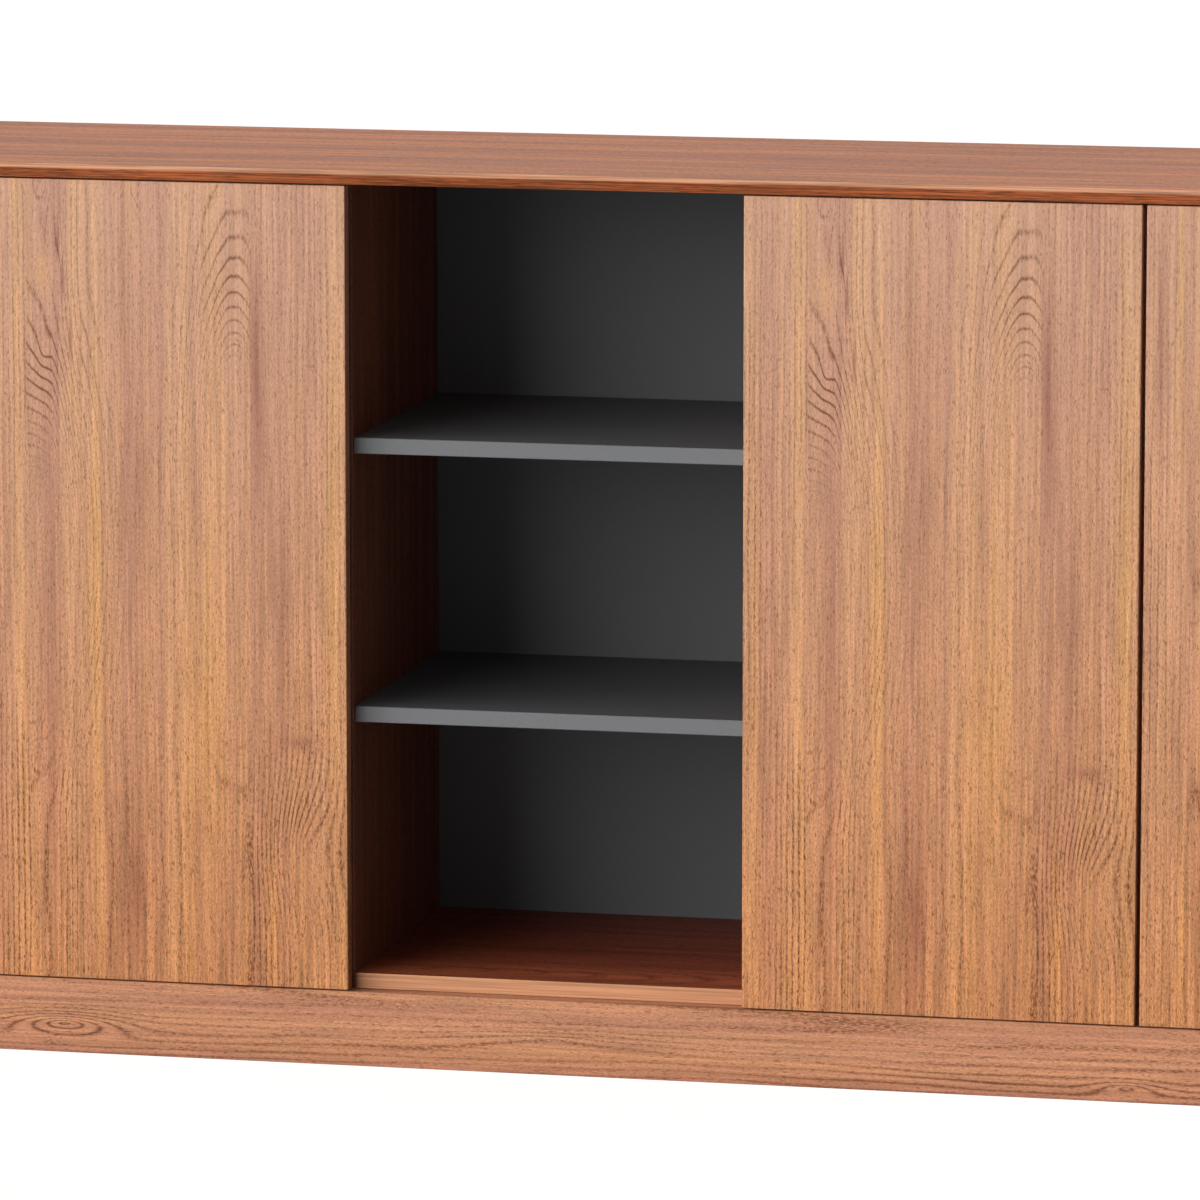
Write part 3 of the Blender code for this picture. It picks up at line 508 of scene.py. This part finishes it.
# Top
# A 16 mm board over the whole length, oak veneered with the grain along it. Its front and ends are cut back
# below a thin lip, so that the board looks 5 mm thick.
TOP_HEART = (-160, 10, 0.03, 7.0)
TOP_STAINS = ((210, 700, 30, 1700, 0.7), (300, 1500, 24, 1400, 0.7), (110, 1350, 34, 1500, 0.6),
              (370, 600, 26, 1500, 0.6))
TOP_GOLDS = ((60, 1000, 40, 3000, 0.7), (255, 900, 22, 1600, 0.8), (160, 1500, 22, 1500, 0.6))
TOP_STREAKS = (0.20, 17)
# The top is stained redder and darker than the doors, and the sheen of the light that grazes it pales it
TOP_TINT = (0.80, 0.51, 0.265)
# The undercut's tint is the edging veneer deepened and reddened as painted shade, and the lip's paler tint is
# a painted highlight
TOP_UNDERCUT_TONE_AND_SHADE = ((1.09, 0.62, 0.40), 0.27)
TOP_LIP_PAINTED_HIGHLIGHT = ((0.96, 0.94, 0.98), -4.8)
low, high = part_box("top_panel")
dress("top_panel", oak_veneer("top_oak_veneer", (low.x, low.y, high.z), ("+Y", "+Z", "+X"), TOP_HEART,
                              stains_and_shade=TOP_STAINS, golds=TOP_GOLDS, seed=51.0, line_depth=0.8,
                              streaks=TOP_STREAKS, start=TOP_TINT, end=TOP_TINT, edging=TOP_UNDERCUT_TONE_AND_SHADE,
                              lip=TOP_LIP_PAINTED_HIGHLIGHT))


# Doors
# 16 mm chipboard veneered with oak on both faces, grain upright, edges banded with the same veneer. The
# doors beside the niche are cut from one bundle of veneer, so they show the same figure.

# A door's lines lie about a heart far off, so they run straight but for the eyes
DOOR_HEART = (-900, 30, 0.0, 200.0)
# Painted sheen and light: a door's tint is paler and whiter at its top and deeper orange at its foot
DOOR_PAINTED_SHEEN_TOP_TINT = (1.10, 1.28, 1.50)
DOOR_PAINTED_SHEEN_FOOT_TINT = (1.01, 0.89, 0.67)
INNER_SPLICES = (65, 297)
INNER_EYES = ((75, 360, 120, 300, -20.0), (84, 172, 24, 62, 1.3), (82, 0, 17, 52, -2.2),
              (100, 95, 9, 80, -1.3), (281, 300, 76, 345, 26.0), (281, 214, 11, 38, 2.5),
              (72, 586, 12, 22, 2.5))
INNER_KNOTS = ((352, 668, 70, 120, 5.0),)
INNER_BOLDS = ((84, 190, 36, 90, 1.2), (276, 90, 34, 110, 0.7), (99, 70, 8, 90, 0.8),
               (340, 640, 40, 60, 0.5))
INNER_CLOSER = ((0, 65, 0.17), (65, 92, 0.03), (92, 122, 0.17), (122, 250, 0.05), (297, 400, 0.16))
INNER_STAINS = ((180, 300, 30, 620, 0.55), (304, 190, 14, 250, 1.2), (88, 560, 26, 420, 0.5),
                (330, 400, 32, 520, 0.4), (176, 720, 34, 220, 0.9), (345, 562, 44, 18, 0.8),
                (99, 60, 4, 34, 1.6), (103, 100, 4, 44, 1.6), (111, 160, 4, 50, 1.4), (82, 40, 7, 20, 0.6))
INNER_GOLDS = ((135, 420, 26, 520, 0.7), (245, 540, 60, 420, 0.8), (380, 400, 14, 560, 1.0),
               (318, 740, 14, 160, 0.9), (58, 640, 6, 330, 0.9), (82, 90, 22, 60, 0.7))
INNER_CALMS = ((82, 92, 22, 44, 1.4), (180, 420, 90, 760, 1.1), (345, 260, 66, 420, 1.1),
               (275, 440, 90, 290, 2.4), (86, 430, 60, 240, 3.6), (352, 690, 44, 70, 1.6),
               (281, 236, 42, 115, 2.4), (18, 640, 40, 330, 1.3), (350, 770, 44, 110, 1.2))
# The outer doors come from a second bundle, without splices
OUTER_EYES = ((120, 480, 84, 330, -24.0), (116, 385, 26, 56, 2.4), (120, 120, 14, 90, -1.6),
              (285, 350, 60, 260, 17.0), (287, 262, 11, 40, 2.5))
OUTER_BOLDS = ((118, 300, 40, 110, 0.8), (285, 170, 34, 90, 0.6))
OUTER_CLOSER = ((0, 44, 0.13), (44, 70, 0.05), (180, 236, 0.08), (334, 400, 0.16))
OUTER_STAINS = ((15, 130, 12, 330, 0.9), (196, 400, 34, 560, 0.6), (64, 660, 24, 300, 0.5),
                (330, 260, 24, 420, 0.7), (236, 720, 30, 260, 0.8), (120, 560, 22, 160, 0.5))
OUTER_GOLDS = ((33, 130, 5, 300, 1.0), (150, 260, 22, 420, 0.7), (300, 640, 44, 360, 0.8),
               (42, 720, 14, 260, 0.8))
OUTER_CALMS = ((120, 640, 90, 290, 2.4), (285, 470, 74, 230, 2.4), (20, 240, 40, 320, 0.5))
INNER = {"eyes": INNER_EYES, "splices": INNER_SPLICES, "closer": INNER_CLOSER, "stains_and_shade": INNER_STAINS,
         "golds": INNER_GOLDS, "calms": INNER_CALMS, "bolds": INNER_BOLDS, "knots": INNER_KNOTS, "seed": 61.0}
OUTER = {"eyes": OUTER_EYES, "closer": OUTER_CLOSER, "stains_and_shade": OUTER_STAINS, "golds": OUTER_GOLDS,
         "calms": OUTER_CALMS, "bolds": OUTER_BOLDS, "seed": 70.0}
for door, bundle in (("door_1", OUTER), ("door_2", INNER), ("door_3", INNER), ("door_4", OUTER)):
    low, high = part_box(door)
    dress(door, oak_veneer(door + "_oak_veneer", (low.x, low.y, high.z), ("+X", "+Y", "-Z"), DOOR_HEART,
                           line_depth=0.8, start=DOOR_PAINTED_SHEEN_TOP_TINT, end=DOOR_PAINTED_SHEEN_FOOT_TINT, **bundle))


# Hinges
# Concealed cup hinges of pressed steel, bright nickel plated, which is warm and nearly mirror smooth. The
# cup is pressed into the door and screwed through its ears, and the arm's plate into the bored holes.
PLATE_SCREW = (0.0035, 0.0008)
EAR_SCREW = (0.0032, 0.0006)
ARM_SCREW = (0.0030, 0.0009)
# Each screw of an arm: its size, the face that it sits on above the upright, its place from front to back,
# and how far it lies above the arm's middle
ARM_SCREWS = ((PLATE_SCREW, 0.0019, -0.131, 0.016), (PLATE_SCREW, 0.0019, -0.131, -0.016),
              (ARM_SCREW, 0.0140, -0.146, 0.0), (ARM_SCREW, 0.0140, -0.122, 0.0))
EAR_SCREW_RISE = 0.024
# The upright's inner face behind each door, and the way from there into the bay
HINGED_ON = {1: (-0.984, 1), 2: (-0.216, -1), 3: (0.216, 1), 4: (0.984, -1)}

nickel = plated_steel("nickelled_steel", NICKEL, 0.22, 0.30)
for number, (face, inward) in HINGED_ON.items():
    on_carcass = bmesh.new()
    on_door = bmesh.new()
    for level_name in ("lower", "upper"):
        for part in ("cup", "link", "arm"):
            dress("hinge_%s_%d_%s" % (part, number, level_name), nickel)
        low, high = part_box("hinge_arm_%d_%s" % (number, level_name))
        level = (low.z + high.z) / 2
        for step, (size, standing, back, up) in enumerate(ARM_SCREWS):
            add_screw(on_carcass, size, (face + inward * standing, back, level + up), (inward, 0, 0),
                      number + 0.7 * step)
        low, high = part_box("hinge_cup_%d_%s" % (number, level_name))
        middle = (low.x + high.x) / 2
        for up in (EAR_SCREW_RISE, -EAR_SCREW_RISE):
            add_screw(on_door, EAR_SCREW, (middle, high.y, level + up), (0, 1, 0), number + 30 * up)
    new_piece("hinge_plate_screws_%d" % number, on_carcass, nickel, "carcass")
    new_piece("hinge_cup_screws_%d" % number, on_door, nickel, "leaf_%d" % number)


# Push latches
# A moulded grey housing screwed under the top at each door's free edge, with a spring plunger that pushes
# the door out. Moulded ABS is satin, with a faint spark-eroded texture.
ABS_GREY = "#8E9092"


def moulded_abs(name):
    """Grey ABS with a spark-eroded surface."""
    material, tree = new_material(name)
    where = add(tree, "TexCoord", {}, out="Object")
    in_mm = add(tree, "VectorMath", {0: where, "Scale": 1000.0}, operation="SCALE")
    # The eroded texture is 0.1 mm fine and is drawn at 0.5 mm so that it shows
    grit = add(tree, "TexNoise", {"Vector": in_mm, "Scale": 1 / 0.5, "Detail": 1.0})
    light = add(tree, "MapRange", {"Value": grit, 1: 0.3, 2: 0.7, 3: 0.95, 4: 1.04})
    tone = add(tree, "VectorMath", {0: colour(ABS_GREY)[:3], "Scale": light}, operation="SCALE")
    bump = add(tree, "Bump", {"Strength": 0.2, "Distance": 0.0001, "Height": grit})
    shader = add(tree, "BsdfPrincipled", {"Base Color": tone, "Roughness": 0.42, "Normal": bump})
    add(tree, "OutputMaterial", {"Surface": shader}, out=None)
    return material


# Buffers of clear soft polyurethane, which look pale and milky on the wood, with faint clouds 1.1 mm across
POLYURETHANE = "#CFC8BC"
rubber, tree = new_material("clear_polyurethane")
where = add(tree, "TexCoord", {}, out="Object")
cloud = add(tree, "TexNoise", {"Vector": where, "Scale": 900.0, "Detail": 1.0})
light = add(tree, "MapRange", {"Value": cloud, 1: 0.3, 2: 0.7, 3: 0.92, 4: 1.05})
tone = add(tree, "VectorMath", {0: colour(POLYURETHANE)[:3], "Scale": light}, operation="SCALE")
shader = add(tree, "BsdfPrincipled", {"Base Color": tone, "Roughness": 0.3, "Transmission Weight": 0.25,
                                      "IOR": 1.5})
add(tree, "OutputMaterial", {"Surface": shader}, out=None)

LATCH_SCREW = (0.0026, 0.0007)
# From the housing's front to its two screws
LATCH_SCREW_PLACES = (0.018, 0.046)
STRIKE_RADIUS = 0.0055
STRIKE_HEIGHT = 0.0002
STRIKE_BEVEL = 0.0003
STRIKE_STEPS = 32
BUFFER_RADIUS = 0.0023
BUFFER_HEIGHT = 0.0018
BUFFER_STEPS = 24
BUFFER_FROM_EDGE = 0.0030
BUFFER_FROM_END = 0.014

abs_plastic = moulded_abs("moulded_abs")
for number in range(1, 5):
    dress("latch_body_%d" % number, abs_plastic)
    dress("latch_plunger_%d" % number, abs_plastic)
    inward = -HINGED_ON[number][1]
    low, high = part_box("latch_body_%d" % number)
    level = (low.z + high.z) / 2
    screws = bmesh.new()
    for step, back in enumerate(LATCH_SCREW_PLACES):
        add_screw(screws, LATCH_SCREW, (high.x if inward > 0 else low.x, low.y + back, level), (inward, 0, 0),
                  0.4 + number + step)
    new_piece("latch_screws_%d" % number, screws, zinc, "carcass")

    # A thin steel disc on the door where the plunger pushes, and a soft buffer at each end of its free edge
    low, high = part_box("latch_plunger_%d" % number)
    plunger_x = (low.x + high.x) / 2
    low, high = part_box("door_%d" % number)
    strike = bmesh.new()
    profile = ((STRIKE_RADIUS, 0.0), (STRIKE_RADIUS, 0.6 * STRIKE_HEIGHT),
               (STRIKE_RADIUS - STRIKE_BEVEL, STRIKE_HEIGHT))
    strike.faces.new(add_turned(strike, profile, STRIKE_STEPS, (plunger_x, high.y, level), (0, 1, 0))[0])
    new_piece("strike_disc_%d" % number, strike, nickel, "leaf_%d" % number)
    edge_x = low.x + BUFFER_FROM_EDGE if inward > 0 else high.x - BUFFER_FROM_EDGE
    profile = ((BUFFER_RADIUS, 0.0), (BUFFER_RADIUS, 0.5 * BUFFER_HEIGHT),
               (0.92 * BUFFER_RADIUS, 0.8 * BUFFER_HEIGHT), (0.7 * BUFFER_RADIUS, BUFFER_HEIGHT))
    buffers = bmesh.new()
    for up in (low.z + BUFFER_FROM_END, high.z - BUFFER_FROM_END):
        buffers.faces.new(add_turned(buffers, profile, BUFFER_STEPS, (edge_x, high.y, up), (0, 1, 0))[0])
    new_piece("door_buffers_%d" % number, buffers, rubber, "leaf_%d" % number)


# Studio floor
# A plain sweep of white paper that runs far behind the cupboard and takes its soft shadow. What the camera
# sees of it is lit up to white, and the light that it throws back at the cupboard is only a plain grey's.
PAPER_HALF_WIDTH = 60.0
PAPER_GREY = (0.34, 0.34, 0.34, 1.0)
PAPER_GLOW = 0.79
WHITE = (1.0, 1.0, 1.0, 1.0)


def plainly_seen(tree):
    """1 for what is seen, by reflection and through clear material too, and 0 for the light that is shed."""
    ray = add(tree, "LightPath", {}, out=None)
    seen = ray.outputs["Is Camera Ray"]
    for way in ("Is Glossy Ray", "Is Transmission Ray"):
        seen = add(tree, "Math", {0: seen, 1: ray.outputs[way]}, operation="ADD", use_clamp=True)
    return seen


shape = bmesh.new()
bmesh.ops.create_grid(shape, x_segments=1, y_segments=1, size=PAPER_HALF_WIDTH)
floor_mesh = bpy.data.meshes.new("studio_floor")
shape.to_mesh(floor_mesh)
shape.free()
floor = bpy.data.objects.new("studio_floor", floor_mesh)
bpy.context.scene.collection.objects.link(floor)
paper, tree = new_material("white_backdrop_paper")
matt = add(tree, "BsdfDiffuse", {"Color": PAPER_GREY})
glow = add(tree, "Emission", {"Color": WHITE, "Strength": PAPER_GLOW})
lit = add(tree, "AddShader", {0: matt, 1: glow})
both = add(tree, "MixShader", {0: plainly_seen(tree), 1: matt, 2: lit})
add(tree, "OutputMaterial", {"Surface": both}, out=None)
floor_mesh.materials.append(paper)


# Studio light
# Large softboxes far off, so that they light the whole cupboard evenly: the main one low in front and to the
# left, one further to the left, one overhead, and one behind on the right for the back and the right end.
SOFTBOX_AWAY = 6


def far_softbox(name, bearing, height, spread, strength):
    """A lamp at a bearing to the right of the front, a height above the horizon and a spread, in degrees."""
    lamp = bpy.data.lights.new(name, "SUN")
    lamp.angle = math.radians(spread)
    lamp.energy = strength
    box = bpy.data.objects.new(name, lamp)
    turn = math.radians(bearing)
    rise = math.radians(height)
    towards = Vector((math.sin(turn) * math.cos(rise), -math.cos(turn) * math.cos(rise), math.sin(rise)))
    box.location = towards * SOFTBOX_AWAY
    box.rotation_euler = (-towards).to_track_quat("-Z", "Y").to_euler()
    bpy.context.scene.collection.objects.link(box)


far_softbox("front_softbox", -38, 9, 54, 4.05)
far_softbox("left_softbox", -68, 12, 30, 2.4)
far_softbox("overhead_softbox", 0, 88, 30, 0.45)
far_softbox("rear_softbox", 140, 15, 25, 2.4)

# The room is white to the camera, and only this share of its light falls on the cupboard
WORLD_FILL = 0.04
world = bpy.data.worlds.new("white_studio")
bpy.context.scene.world = world
world.use_nodes = True
tree = world.node_tree
tree.nodes.clear()
strength = add(tree, "MapRange", {"Value": plainly_seen(tree), 3: WORLD_FILL, 4: 1.0})
backdrop = add(tree, "Background", {"Color": WHITE, "Strength": strength})
add(tree, "OutputWorld", {"Surface": backdrop}, out=None)


# Camera
# A long lens about 8.5 m away, a little to the right of the cupboard and above it, as in the photograph.
FOCAL_LENGTH = 251.5
CAMERA_PLACE = (1.8656, -8.2045, 1.7758)
# In degrees, how far it looks below the horizon and to the left of straight ahead
CAMERA_DIP = 8.931
CAMERA_TURN = 12.707
lens = bpy.data.cameras.new("studio_camera")
lens.lens = FOCAL_LENGTH
lens.sensor_width = 36.0
lens.clip_start = 0.1
lens.clip_end = 200.0
camera = bpy.data.objects.new("studio_camera", lens)
camera.location = CAMERA_PLACE
camera.rotation_euler = (math.radians(90 - CAMERA_DIP), 0.0, math.radians(CAMERA_TURN))
bpy.context.scene.collection.objects.link(camera)
bpy.context.scene.camera = camera

bpy.context.scene.view_settings.view_transform = "Standard"
